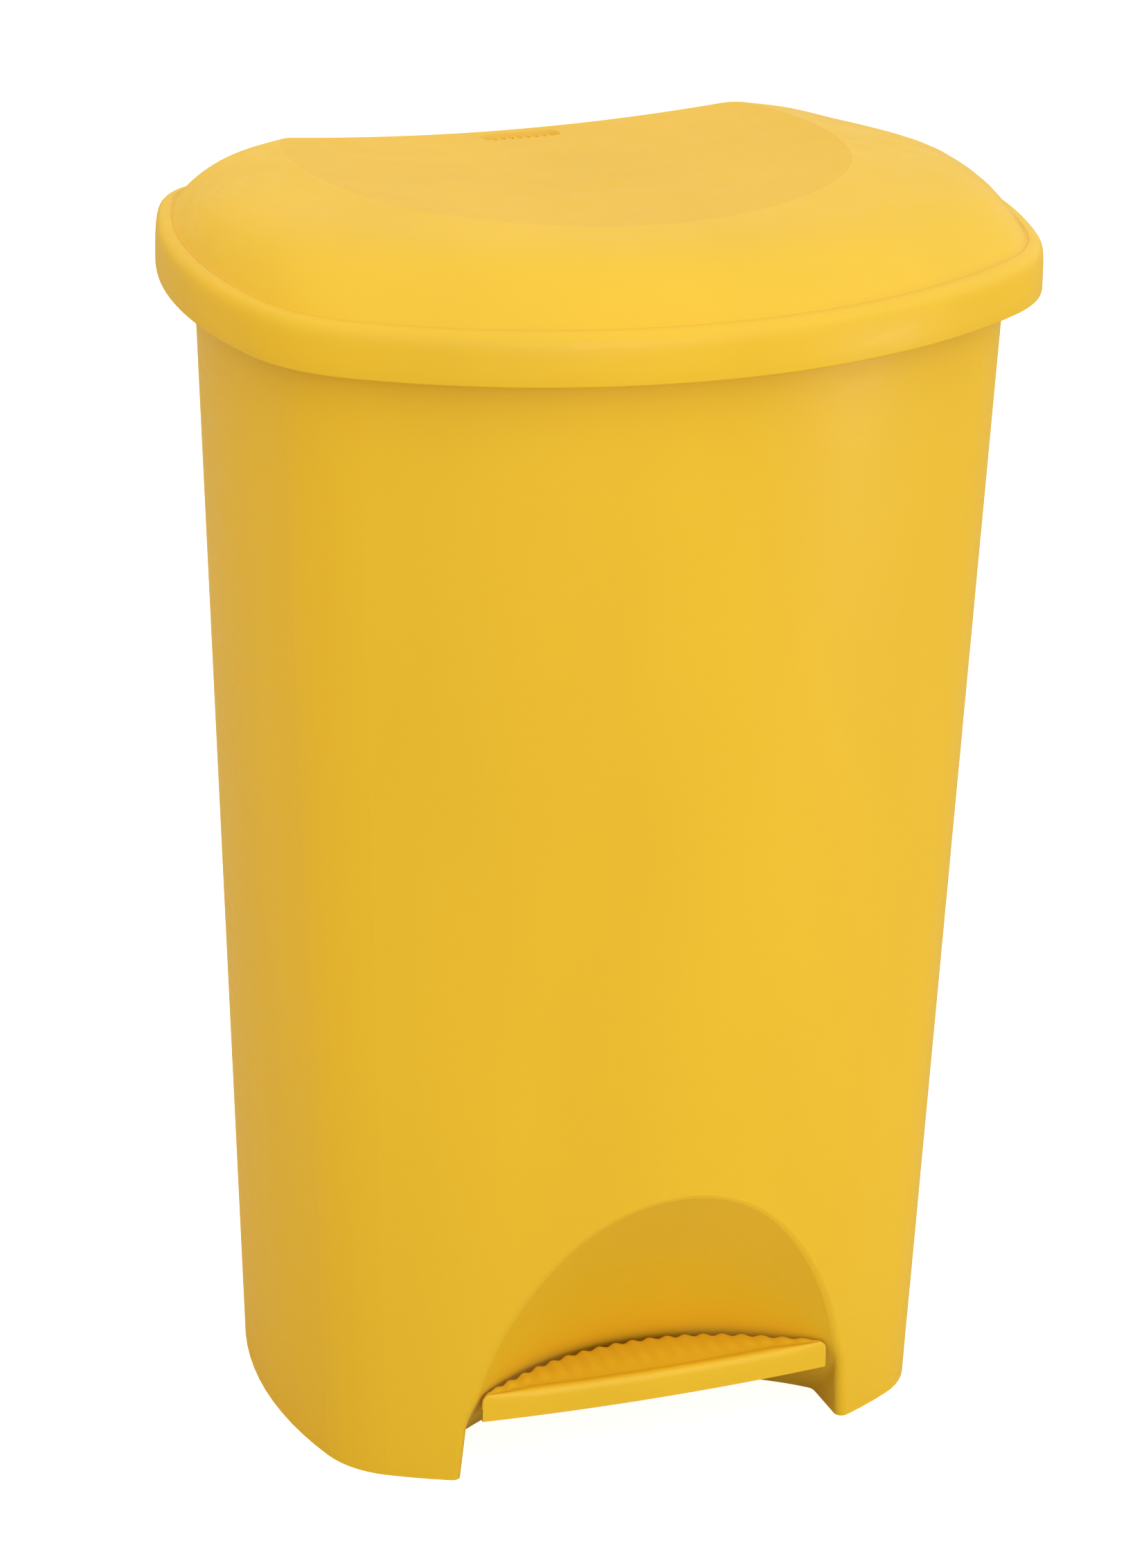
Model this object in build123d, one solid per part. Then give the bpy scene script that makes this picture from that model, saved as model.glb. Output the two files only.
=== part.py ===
"""Pedal bin of about fifty litres: a tapered D-shaped bucket with an overhanging domed lid.

The foot tread in the arched recess turns a lever on an axle below the bucket floor, the lever
lifts a steel rod that slides in a channel in the back wall, and the rod turns the lid about two
hinge pins behind the rim. Millimetres, +Z up, front towards -Y, origin under the middle of the box.
"""
from build123d import *
import math
import os

# ---------------------------------------------------------------- driving dimensions
WALL = 2.5                      # moulded wall of the bucket and of the lid
RIM_WIDTH = 432.0               # lid rim, side to side
RIM_DEPTH = 315.0               # lid rim, front to back
RIM_BOTTOM = 600.0              # lower edge of the lid rim
RIM_OVERHANG = 18.0             # lid rim stands out this far past the bucket
DOME_BASE = 627.3               # where the dome starts, inside the rim's rounded top
DOME_TOP = 655.3                # level at which the dome meets the hollow of the lid
BODY_TOP = 618.0                # top of the bucket
FLOOR_Z = 62.0                  # underside of the bucket floor
BOTTOM_WIDTH = 340.6            # foot of the bucket, side to side
BOTTOM_FRONT = -117.2           # foot of the bucket, middle of the front
BACK_INSET = 18.0               # back wall stands in from the back of the rim

HOLLOW_RADIUS = 1058.0          # lid hollow, seen from the front
HOLLOW_SLOPE = 0.07             # lid hollow rises towards the front
HOLLOW_BACK_Z = 638.0           # lid hollow at the middle of the back edge
HOLLOW_BACK_Y = 148.8

RECESS_HALF_FOOT = 104.5        # foot recess at floor level
RECESS_HALF = 101.5             # foot recess where its side walls end
RECESS_WALL_TOP = 40.0
RECESS_ROUND = 4.0              # soft edge of the recess
RECESS_RIM_Y = -93.5            # the recess breaks through the front wall ahead of this
SCOOP_LEVELS = (                # back of the foot recess: height, deepest point, radius from above
    (-1.0, -17.0, 150.0), (47.0, -58.0, 142.0), (100.0, -88.7, 172.0),
    (130.0, -106.1, 187.0), (150.0, -118.4, 200.0), (165.0, -128.4, 205.0))

TREAD_HALF = 95.0               # tread half width
TREAD_FRONT = -101.2            # tread front at its middle
TREAD_END_Y = -97.0             # tread front at its ends
TREAD_BACK = -60.5              # tread back edge at its middle
TREAD_BACK_RADIUS = 143.0
TREAD_BOTTOM = 33.0
TREAD_TOP = 47.5
TREAD_WALL = 3.5

PIVOT_Y = 0.5                   # pedal axle
PIVOT_Z = 24.0
AXLE_R = 4.0
LEVER_REACH = 129.0             # axle to push rod, level
ROD_TRAVEL = 26.8
ROD_Y = PIVOT_Y + LEVER_REACH
ROD_R = 3.0
LOWER_PIN_Z = PIVOT_Z - ROD_TRAVEL / 2
LOWER_PIN_R = 3.0

HINGE_Y = RIM_DEPTH / 2 - WALL - 7.5
HINGE_Z = 598.0
HINGE_R = 3.0
LID_SWING = 75.0
TAIL_R = ROD_TRAVEL / 2 / math.sin(math.radians(LID_SWING / 2))
TAIL_Y = HINGE_Y - TAIL_R * math.cos(math.radians(LID_SWING / 2))
TAIL_Z = HINGE_Z - ROD_TRAVEL / 2
TAIL_PIN_R = 2.5
TAIL_SHIFT = TAIL_R * (1 - math.cos(math.radians(LID_SWING / 2)))

CHANNEL_HALF = 22.0             # rear channel for the push rod
CHANNEL_Y = ROD_Y - 18.0
BACK_Y = RIM_DEPTH / 2 - BACK_INSET
COVER_TOP = 565.0
COVER_BOTTOM = 12.0
GUIDE_LEVELS = (140.0, 330.0, 520.0)
COVER_SCREW_LEVELS = (85.0, 300.0, 552.0)
COVER_SCREW_X = 17.0
GUIDE_SCREW_X = 13.0
GUIDE_BACK = ROD_Y + 6.0
GUIDE_FRONT = ROD_Y - 6.0

LUGS = ((60.0, 75.0), (95.0, 110.0))        # hinge lugs on the bucket, each side
KNUCKLE = (76.3, 93.7)                      # hinge knuckle on the lid bracket, each side
LUG_R = 6.0
TAIL_CHEEK = (6.0, 9.5)                     # the two cheeks that hold the link pin
EYE_HALF = 5.0
PLATE_Z = 621.5                             # lid bracket plate
PLATE_THICK = 3.0
PLATE_HALF = 118.0
PLATE_FRONT = HINGE_Y - 26.5
PLATE_BACK = HINGE_Y + 0.5
BRACKET_SCREWS = ((-105.0, 130.0), (-40.0, 130.0), (40.0, 130.0), (105.0, 130.0))
BUFFER_PLACES = ((-110.0, -111.5), (110.0, -111.5), (-196.0, 62.0), (196.0, 62.0))
SCREW_R = 1.45
PILOT_R = 1.5
HEAD_R = 3.2
HEAD_H = 2.2

RIM = dict(front=-RIM_DEPTH / 2, front_r=300.0, half=RIM_WIDTH / 2, side_y=19.8, side_r=292.0,
           back=RIM_DEPTH / 2, corner=85.0, back_corner=50.0)
FOOT = dict(front=BOTTOM_FRONT, front_r=264.0, half=BOTTOM_WIDTH / 2, side_y=21.8, side_r=276.0,
            back=BACK_Y, corner=50.0, back_corner=32.0)
CREASE = dict(front=-78.2, front_r=145.0, half=138.0, side_y=70.0, side_r=230.0,
              back=149.0, corner=110.0, back_corner=12.0)


# ---------------------------------------------------------------- outlines
def inset_plan(plan, inset):
    """The same D outline, moved in by inset all round."""
    return dict(front=plan["front"] + inset, front_r=plan["front_r"] - inset,
                half=plan["half"] - inset, side_y=plan["side_y"], side_r=plan["side_r"] - inset,
                back=plan["back"] - inset, corner=plan["corner"] - inset,
                back_corner=plan["back_corner"] - inset)


def blend_plan(a, b, t):
    """An outline between two outlines."""
    return {key: a[key] * (1 - t) + b[key] * t for key in a}


def plan_face(plan, z):
    """D outline: bowed front, bowed sides, straight back, four tangent corners."""
    front = Vector(0, plan["front"] + plan["front_r"])
    side = Vector(plan["half"] - plan["side_r"], plan["side_y"])
    reach_a = plan["front_r"] - plan["corner"]
    reach_b = plan["side_r"] - plan["corner"]
    gap = side - front
    along = (reach_a ** 2 - reach_b ** 2 + gap.length ** 2) / (2 * gap.length)
    off = math.sqrt(reach_a ** 2 - along ** 2)
    unit = gap / gap.length
    corner = front + unit * along + Vector(-unit.Y, unit.X) * off
    back_y = plan["back"] - plan["back_corner"]
    reach_c = plan["side_r"] - plan["back_corner"]
    back_corner = Vector(side.X + math.sqrt(reach_c ** 2 - (back_y - side.Y) ** 2), back_y)

    def on_arc(centre, radius, towards):
        return centre + (towards - centre).normalized() * radius

    front_end = on_arc(front, plan["front_r"], corner)
    side_start = on_arc(side, plan["side_r"], corner)
    corner_mid = on_arc(corner, plan["corner"], (front_end + side_start) / 2)
    side_end = on_arc(side, plan["side_r"], back_corner)
    side_mid = on_arc(side, plan["side_r"], (side_start + side_end) / 2)
    back_end = Vector(back_corner.X, plan["back"])
    back_mid = on_arc(back_corner, plan["back_corner"], (side_end + back_end) / 2)

    def at(point, mirror=1):
        return Vector(point.X * mirror, point.Y, z)

    edges = [
        ThreePointArc(at(front_end, -1), Vector(0, plan["front"], z), at(front_end)),
        ThreePointArc(at(front_end), at(corner_mid), at(side_start)),
        ThreePointArc(at(side_start), at(side_mid), at(side_end)),
        ThreePointArc(at(side_end), at(back_mid), at(back_end)),
        Line(at(back_end), at(back_end, -1)),
        ThreePointArc(at(back_end, -1), at(back_mid, -1), at(side_end, -1)),
        ThreePointArc(at(side_end, -1), at(side_mid, -1), at(side_start, -1)),
        ThreePointArc(at(side_start, -1), at(corner_mid, -1), at(front_end, -1)),
    ]
    return Face(Wire([curve.edge() for curve in edges]))


def stack(sections):
    """Solid through a stack of (height, plan) sections."""
    return loft([plan_face(plan, z) for z, plan in sections], ruled=True)


def block(x, y, z):
    """Box between (low, high) pairs."""
    return Pos((x[0] + x[1]) / 2, (y[0] + y[1]) / 2, (z[0] + z[1]) / 2) * Box(
        x[1] - x[0], y[1] - y[0], z[1] - z[0])


def rod_x(y, z, radius, x):
    """Round bar along X between x = (low, high)."""
    return Pos((x[0] + x[1]) / 2, y, z) * Rot(0, 90, 0) * Cylinder(radius, x[1] - x[0])


def rod_y(x, z, radius, y):
    """Round bar along Y."""
    return Pos(x, (y[0] + y[1]) / 2, z) * Rot(90, 0, 0) * Cylinder(radius, y[1] - y[0])


def rod_z(x, y, radius, z):
    """Round bar along Z."""
    return Pos(x, y, (z[0] + z[1]) / 2) * Cylinder(radius, z[1] - z[0])


def side_plate(points, x):
    """Plate with a (y, z) profile, between x = (low, high)."""
    profile = make_face(Polyline([(x[0], y, z) for y, z in points], close=True))
    return extrude(profile, amount=x[1] - x[0], dir=(1, 0, 0))


def both_sides(span):
    """The same (low, high) span on the left and on the right."""
    return (-span[1], -span[0]), span


# ---------------------------------------------------------------- bucket
BODY_PLAN = inset_plan(RIM, RIM_OVERHANG)


def scoop(grow):
    """Space of the foot recess, or the skin round it when grow is the wall."""
    half, foot = RECESS_HALF + grow, RECESS_HALF_FOOT + grow
    outline = [(-foot, 0, -1), (foot, 0, -1), (half, 0, RECESS_WALL_TOP), (half, 0, 170),
               (-half, 0, 170), (-half, 0, RECESS_WALL_TOP)]
    sides = extrude(make_face(Polyline(outline, close=True)), amount=250, dir=(0, -1, 0))
    circles = [Pos(0, y - radius + grow, z) * Circle(radius) for z, y, radius in SCOOP_LEVELS]
    return sides & loft(circles)


def recess_rim(solid):
    """The edges where the foot recess breaks through the front wall."""
    found = []
    for edge in solid.edges():
        middle = edge @ 0.5
        straight_in = abs((edge @ 0).X - (edge @ 1).X) < 0.3 and abs((edge @ 0).Y - (edge @ 1).Y) > 3
        near = edge.bounding_box().max.Y < RECESS_RIM_Y and edge.bounding_box().max.Z < SCOOP_LEVELS[-1][0]
        if near and not straight_in and abs(middle.X) < RECESS_HALF_FOOT + 2 and edge.length > 1:
            if edge.bounding_box().max.Z > 2:
                found.append(edge)
    return found


def hinge_lug(span):
    """One lug behind the bucket wall, bored for a hinge pin."""
    web = side_plate([(BACK_Y, HINGE_Z + LUG_R), (HINGE_Y, HINGE_Z + LUG_R),
                      (HINGE_Y + 4.2, HINGE_Z - 4.2), (BACK_Y, HINGE_Z - 18)], span)
    lug = web + rod_x(HINGE_Y, HINGE_Z, LUG_R, span)
    return lug - rod_x(HINGE_Y, HINGE_Z, HINGE_R + 0.05, (span[0] - 1, span[1] + 1))


def recessed_body():
    """Outside of the bucket as a solid, with the foot recess cut and its edge softened."""
    outer = stack([(0, FOOT), (BODY_TOP, BODY_PLAN)]) - scoop(0)
    return fillet(recess_rim(outer), RECESS_ROUND)


def inner_body():
    """Everything inside the outer wall."""
    return stack([(0, inset_plan(FOOT, WALL)), (BODY_TOP, inset_plan(BODY_PLAN, WALL))])


def channel_space():
    """Slot for the push rod, open to the back."""
    return block((-CHANNEL_HALF, CHANNEL_HALF), (CHANNEL_Y, BACK_Y + 10), (-1, BODY_TOP + 1))


def body_shell():
    """Outer wall of the bucket with its top flange, open at the foot recess and the rear channel."""
    shell = recessed_body() - inner_body()
    flange = (extrude(plan_face(inset_plan(RIM, 12), BODY_TOP - 4), amount=4)
              - extrude(plan_face(inset_plan(RIM, 20.3), BODY_TOP - 5), amount=6))
    lip = (extrude(plan_face(inset_plan(RIM, 12), BODY_TOP - 14), amount=14)
           - extrude(plan_face(inset_plan(RIM, 14), BODY_TOP - 15), amount=16))
    ahead_of_back = block((-300, 300), (-300, BACK_Y), (500, 700))
    return shell + ((flange + lip) & ahead_of_back) - channel_space()


def foot_recess():
    """Curved wall behind the foot recess, moulded with the bucket, slotted for the lever."""
    skin = recessed_body() & inner_body() & scoop(WALL)
    return skin - block((-34, 34), (-75, 0), (-1, 38))


def bucket_floor():
    """Floor of the bucket, with a pad under it for the pedal's stop."""
    plate = block((-300, 300), (-300, 300), (FLOOR_Z, FLOOR_Z + WALL))
    floor = (inner_body() & plate) - scoop(WALL) - channel_space()
    return floor + block((-8, 8), (90, 106), (52, FLOOR_Z))


def rear_channel():
    """Walls of the push-rod channel, with bosses for the guides and the cover."""
    channel = block((-CHANNEL_HALF - WALL, CHANNEL_HALF + WALL), (CHANNEL_Y - WALL, BACK_Y - WALL),
                    (FLOOR_Z + WALL, BODY_TOP)) - channel_space()
    for z in GUIDE_LEVELS:
        for x in (-GUIDE_SCREW_X, GUIDE_SCREW_X):
            channel = channel + rod_y(x, z, 4.5, (CHANNEL_Y - 1, GUIDE_FRONT))
            channel = channel - rod_y(x, z, PILOT_R, (CHANNEL_Y + 1, GUIDE_FRONT + 1))
    for z in COVER_SCREW_LEVELS:
        for x in (-COVER_SCREW_X, COVER_SCREW_X):
            channel = channel + rod_y(x, z, 4.0, (CHANNEL_Y - 1, BACK_Y))
            channel = channel - rod_y(x, z, PILOT_R, (BACK_Y - 12, BACK_Y + 1))
    return channel


def axle_ribs():
    """The two ribs under the bucket floor that carry the pedal axle."""
    ribs = []
    for span in both_sides((38.0, 43.0)):
        rib = block(span, (PIVOT_Y - 13, PIVOT_Y + 13), (PIVOT_Z, FLOOR_Z))
        rib = rib + rod_x(PIVOT_Y, PIVOT_Z, 11.0, span)
        ribs.append(rib - rod_x(PIVOT_Y, PIVOT_Z, AXLE_R + 0.05, (-50, 50)))
    return Compound(children=ribs)


def hinge_lugs():
    """The four lugs on the outside of the back wall, moulded with the bucket."""
    return Compound(children=[hinge_lug(span) for lug in LUGS for span in both_sides(lug)])


def rear_channel_cover():
    """Flat strip that closes the rod channel, screwed on from behind."""
    plate = block((-27, 27), (BACK_Y + 0.1, BACK_Y + 2.1), (COVER_BOTTOM, COVER_TOP))
    for z in COVER_SCREW_LEVELS:
        for x in (-COVER_SCREW_X, COVER_SCREW_X):
            plate = plate - rod_y(x, z, 1.9, (BACK_Y - 1, BACK_Y + 4))
    return plate


def screw_y(x, z, seat, length):
    """Pan-head screw driven forwards from behind, head on the plane y = seat."""
    return rod_y(x, z, SCREW_R, (seat - length, seat + 1)) + rod_y(x, z, HEAD_R, (seat, seat + HEAD_H))


def rod_guide(z):
    """Guide block across the channel, bored for the push rod."""
    guide = block((-18, 18), (GUIDE_FRONT, GUIDE_BACK), (z - 5, z + 5))
    guide = guide - rod_z(0, ROD_Y, ROD_R + 0.1, (z - 6, z + 6))
    for x in (-GUIDE_SCREW_X, GUIDE_SCREW_X):
        guide = guide - rod_y(x, z, 1.75, (GUIDE_FRONT - 1, GUIDE_BACK + 1))
    return guide


# ---------------------------------------------------------------- pedal
def on_pedal(shape):
    """Tilt a part of the lever that is drawn level, so that its tail points down at rest."""
    angle = math.degrees(math.atan2(ROD_TRAVEL / 2, LEVER_REACH))
    return Pos(0, PIVOT_Y, PIVOT_Z) * Rot(-angle, 0, 0) * Pos(0, -PIVOT_Y, -PIVOT_Z) * shape


def pedal_lever():
    """Moulded arm: pad under the tread, channel section to the axle, forked tail."""
    half = 28.0
    top = [(-94, 39.5), (-94, 43.5), (-74, 43.5), (-64, 36), (-45, 34), (PIVOT_Y, PIVOT_Z + 9),
           (34, PIVOT_Z + 7), (34, PIVOT_Z - 8), (PIVOT_Y, PIVOT_Z - 9), (-45, 20), (-66, 26),
           (-74, 39.5)]
    arm = side_plate(top, (-half, half))
    arm = arm - block((-half + 4, half - 4), (-75, PIVOT_Y - 12), (0, 30))
    arm = arm - block((-half + 4, half - 4), (PIVOT_Y + 12, 31), (0, PIVOT_Z + 3))
    arm = arm + rod_x(PIVOT_Y, PIVOT_Z, 11.0, (-half - 2, half + 2))
    pad = block((-60, 60), (-94, -76), (39.5, 43.5))
    cheeks = Part()
    for span in both_sides((7.0, 11.0)):
        cheek = block(span, (26, ROD_Y), (PIVOT_Z - 7, PIVOT_Z + 7)) + rod_x(ROD_Y, PIVOT_Z, 7.0, span)
        cheeks = cheeks + on_pedal(cheek)
    bridge = on_pedal(block((-11, 11), (26, 112), (PIVOT_Z + 3, PIVOT_Z + 7)))
    lever = arm + pad + cheeks + bridge
    lever = lever - rod_x(PIVOT_Y, PIVOT_Z, 6.03, (-half - 3, half + 3))
    slot = block((-12, 12), (ROD_Y - 0.8, ROD_Y + 0.3), (LOWER_PIN_Z - 3.2, LOWER_PIN_Z + 3.2))
    for y in (ROD_Y - 0.8, ROD_Y + 0.3):
        slot = slot + rod_x(y, LOWER_PIN_Z, 3.2, (-12, 12))
    lever = lever - slot
    for x in (-45, 45):
        lever = lever - rod_z(x, -86, 1.75, (38, 45))
    return lever


def tread_plan(inset, z):
    """Lens outline of the tread."""
    half = TREAD_HALF - inset
    drop = TREAD_BACK_RADIUS - math.sqrt(TREAD_BACK_RADIUS ** 2 - half ** 2)
    front = ThreePointArc((-half, TREAD_END_Y + inset, z), (0, TREAD_FRONT + inset, z),
                          (half, TREAD_END_Y + inset, z))
    back_end = max(TREAD_BACK - inset - drop, TREAD_END_Y + inset + 1.5)
    back = ThreePointArc((half, back_end, z), (0, TREAD_BACK - inset, z), (-half, back_end, z))
    right = Line((half, TREAD_END_Y + inset, z), (half, back_end, z))
    left = Line((-half, back_end, z), (-half, TREAD_END_Y + inset, z))
    return Face(Wire([front.edge(), right.edge(), back.edge(), left.edge()]))


def pedal_tread():
    """Foot tread: hollow lens-shaped cap with a raised front lip and slanting grip ribs."""
    body = extrude(tread_plan(0, TREAD_BOTTOM), amount=TREAD_TOP - TREAD_BOTTOM)
    hollow = extrude(tread_plan(TREAD_WALL, TREAD_BOTTOM - 1), amount=11.5)
    dish = extrude(tread_plan(5.0, TREAD_TOP - 1.5), amount=5)
    tread = body - hollow - dish
    tread = tread - block((-33, 33), (-72, -50), (TREAD_BOTTOM - 1, 41.0))
    for x in (-45, 45):
        tread = tread - rod_z(x, -86, PILOT_R, (43, 45.2))
    return tread


def screw_z(x, y, seat, length):
    """Pan-head screw driven upwards, head under the plane z = seat."""
    return rod_z(x, y, SCREW_R, (seat - 1, seat + length)) + rod_z(x, y, HEAD_R, (seat - HEAD_H, seat))


def pedal_bush(side):
    """Flanged plain bush in one end of the lever hub."""
    tube = rod_x(PIVOT_Y, PIVOT_Z, 6.0, (16, 32.5)) + rod_x(PIVOT_Y, PIVOT_Z, 9.0, (30.1, 32.5))
    tube = tube - rod_x(PIVOT_Y, PIVOT_Z, AXLE_R + 0.06, (10, 40))
    return tube if side > 0 else mirror(tube, Plane.YZ)


def axle_clip(side):
    """Push-on retaining ring at one end of the axle."""
    ring = rod_x(PIVOT_Y, PIVOT_Z, 7.5, (43.4, 44.8)) - rod_x(PIVOT_Y, PIVOT_Z, AXLE_R + 0.01, (40, 50))
    return ring if side > 0 else mirror(ring, Plane.YZ)


def lever_link_pin():
    """Pin through the rod's lower eye and the slots of the lever's fork."""
    pin = rod_x(ROD_Y, LOWER_PIN_Z, LOWER_PIN_R, (-13, 13))
    for span in both_sides((11.4, 13.0)):
        pin = pin + rod_x(ROD_Y, LOWER_PIN_Z, 4.6, span)
    return pin


# ---------------------------------------------------------------- push rod
ROD_LOW = LOWER_PIN_Z + 8.0
ROD_HIGH = TAIL_Z - 8.0


def push_rod():
    """Straight steel rod."""
    return rod_z(0, ROD_Y, ROD_R, (ROD_LOW, ROD_HIGH))


def rod_lower_eye():
    """Moulded end with a round eye for the lever pin and a socket for the rod."""
    eye = rod_x(ROD_Y, LOWER_PIN_Z, 7.0, (-6, 6)) + rod_z(0, ROD_Y, 5.8, (LOWER_PIN_Z, ROD_LOW + 24))
    eye = eye - rod_x(ROD_Y, LOWER_PIN_Z, LOWER_PIN_R + 0.03, (-8, 8))
    return eye - rod_z(0, ROD_Y, ROD_R + 0.03, (ROD_LOW, ROD_LOW + 30))


def rod_upper_eye():
    """Moulded end with a level slot for the lid's link pin and a socket for the rod."""
    mid = TAIL_Y - TAIL_SHIFT / 2
    reach = TAIL_SHIFT / 2 + 0.3
    slot_r = TAIL_PIN_R + 0.55
    eye = block((-EYE_HALF, EYE_HALF), (mid - reach, mid + reach), (TAIL_Z - 6.5, TAIL_Z + 6.5))
    slot = block((-9, 9), (mid - reach, mid + reach), (TAIL_Z - slot_r, TAIL_Z + slot_r))
    for y in (mid - reach, mid + reach):
        eye = eye + rod_x(y, TAIL_Z, 6.5, (-EYE_HALF, EYE_HALF))
        slot = slot + rod_x(y, TAIL_Z, slot_r, (-9, 9))
    eye = eye + rod_z(0, ROD_Y, EYE_HALF, (ROD_HIGH - 24, TAIL_Z - 3.5))
    return eye - slot - rod_z(0, ROD_Y, ROD_R + 0.03, (ROD_HIGH - 30, ROD_HIGH))


# ---------------------------------------------------------------- lid
def dome_height(t, top):
    """Height of the dome from its base (t = 0) to the crease (t = 1): steep, then nearly level."""
    rise = 0.15 * t + 0.85 * (1 - (1 - t) ** 3.5)
    return DOME_BASE + (top - DOME_BASE) * rise


def lid_solid(wall):
    """Solid of the lid's outside, or of its inside when wall is the wall thickness."""
    rim = [(RIM_BOTTOM, 0.0), (621.0, 1.0), (625.0, 2.2), (626.8, 4.2), (DOME_BASE, 6.5)]
    sections = [(z - (wall if z > 610 else 1 if wall else 0), inset_plan(RIM, i + wall)) for z, i in rim]
    base = inset_plan(RIM, 7.5 + wall)
    top = inset_plan(CREASE, wall)
    for t in (0.0, 0.06, 0.15, 0.26, 0.4, 0.6, 0.8, 1.0):
        lift = 0.3 if t == 0 else 0.0
        sections.append((dome_height(t, DOME_TOP) - wall + lift, blend_plan(base, top, t)))
    return stack(sections)


def hollow_cutter(drop):
    """Large tilted cylinder that hollows the top of the lid, moved down by drop."""
    tilt = Vector(0, 1, -HOLLOW_SLOPE).normalized()
    up = Vector(0, HOLLOW_SLOPE, 1).normalized()
    start = Vector(0, HOLLOW_BACK_Y, HOLLOW_BACK_Z - drop) + up * HOLLOW_RADIUS - tilt * 300
    plane = Plane(origin=start, x_dir=(1, 0, 0), z_dir=tilt)
    return extrude(plane * Circle(HOLLOW_RADIUS), amount=400)


def lid_shell():
    """Domed lid with a hollow top, a deep rim, bosses and a finger recess at the back."""
    outer = lid_solid(0) - hollow_cutter(0)
    inner = lid_solid(WALL) - hollow_cutter(WALL)
    pad = block((-26, 26), (132, 151), (632.5, 645)) & outer
    bosses = Part()
    for x, y in BRACKET_SCREWS:
        bosses = bosses + rod_z(x, y, 4.5, (PLATE_Z + PLATE_THICK, 660))
    for x, y in BUFFER_PLACES:
        bosses = bosses + rod_z(x, y, 4.5, (622.0, 660))
    lid = (outer - inner) + pad + (bosses & outer)
    lid = lid - block((-21, 21), (137, 145), (635.4, 660))
    for x, y in BRACKET_SCREWS:
        lid = lid - rod_z(x, y, PILOT_R, (PLATE_Z, 634.0))
    for x, y in BUFFER_PLACES:
        lid = lid - rod_z(x, y, 2.03, (620.0, 629.0))
    return lid


def lid_hinge_bracket():
    """Plate under the lid with two hinge knuckles and the forked tail that the rod pushes."""
    bracket = block((-PLATE_HALF, PLATE_HALF), (PLATE_FRONT, PLATE_BACK), (PLATE_Z, PLATE_Z + PLATE_THICK))
    for span in both_sides(KNUCKLE) + both_sides(TAIL_CHEEK):
        bracket = bracket + block(span, (HINGE_Y - 5.0, HINGE_Y + 0.5), (HINGE_Z, PLATE_Z + 1))
        bracket = bracket + rod_x(HINGE_Y, HINGE_Z, 5.8, span)
    for span in both_sides(TAIL_CHEEK):
        arm = block(span, (HINGE_Y - TAIL_R, HINGE_Y), (HINGE_Z - 5.3, HINGE_Z + 5.3))
        arm = arm + rod_x(HINGE_Y - TAIL_R, HINGE_Z, 5.3, span)
        turn = Pos(0, HINGE_Y, HINGE_Z) * Rot(LID_SWING / 2, 0, 0) * Pos(0, -HINGE_Y, -HINGE_Z)
        bracket = bracket + turn * arm
    bracket = bracket - rod_x(HINGE_Y, HINGE_Z, HINGE_R + 0.06, (-100, -70))
    bracket = bracket - rod_x(HINGE_Y, HINGE_Z, HINGE_R + 0.06, (70, 100))
    bracket = bracket - rod_x(TAIL_Y, TAIL_Z, TAIL_PIN_R + 0.03, (-12, 12))
    for x, y in BRACKET_SCREWS:
        bracket = bracket - rod_z(x, y, 1.75, (PLATE_Z - 1, PLATE_Z + PLATE_THICK + 1))
    return bracket


def lid_link_pin():
    """Pin across the lid's tail, with a flat head at each end."""
    pin = rod_x(TAIL_Y, TAIL_Z, TAIL_PIN_R, (-11.2, 11.2))
    for span in both_sides((9.7, 11.2)):
        pin = pin + rod_x(TAIL_Y, TAIL_Z, 3.8, span)
    return pin


def hinge_pin(side):
    """Headed pin through two lugs and the knuckle between them."""
    pin = rod_x(HINGE_Y, HINGE_Z, HINGE_R, (56.5, 112.2)) + rod_x(HINGE_Y, HINGE_Z, 4.6, (110.3, 112.2))
    return pin if side > 0 else mirror(pin, Plane.YZ)


def hinge_pin_clips():
    """Push-on ring at the inner end of each hinge pin."""
    ring = rod_x(HINGE_Y, HINGE_Z, 5.0, (58.2, 59.7)) - rod_x(HINGE_Y, HINGE_Z, HINGE_R + 0.01, (55, 62))
    return Compound(children=[ring, mirror(ring, Plane.YZ)])


def lid_buffer(x, y):
    """Soft stud that lands on the bucket's rim."""
    return rod_z(x, y, 4.5, (BODY_TOP + 0.35, 622.0)) + rod_z(x, y, 2.0, (621.0, 627.0))


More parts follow.
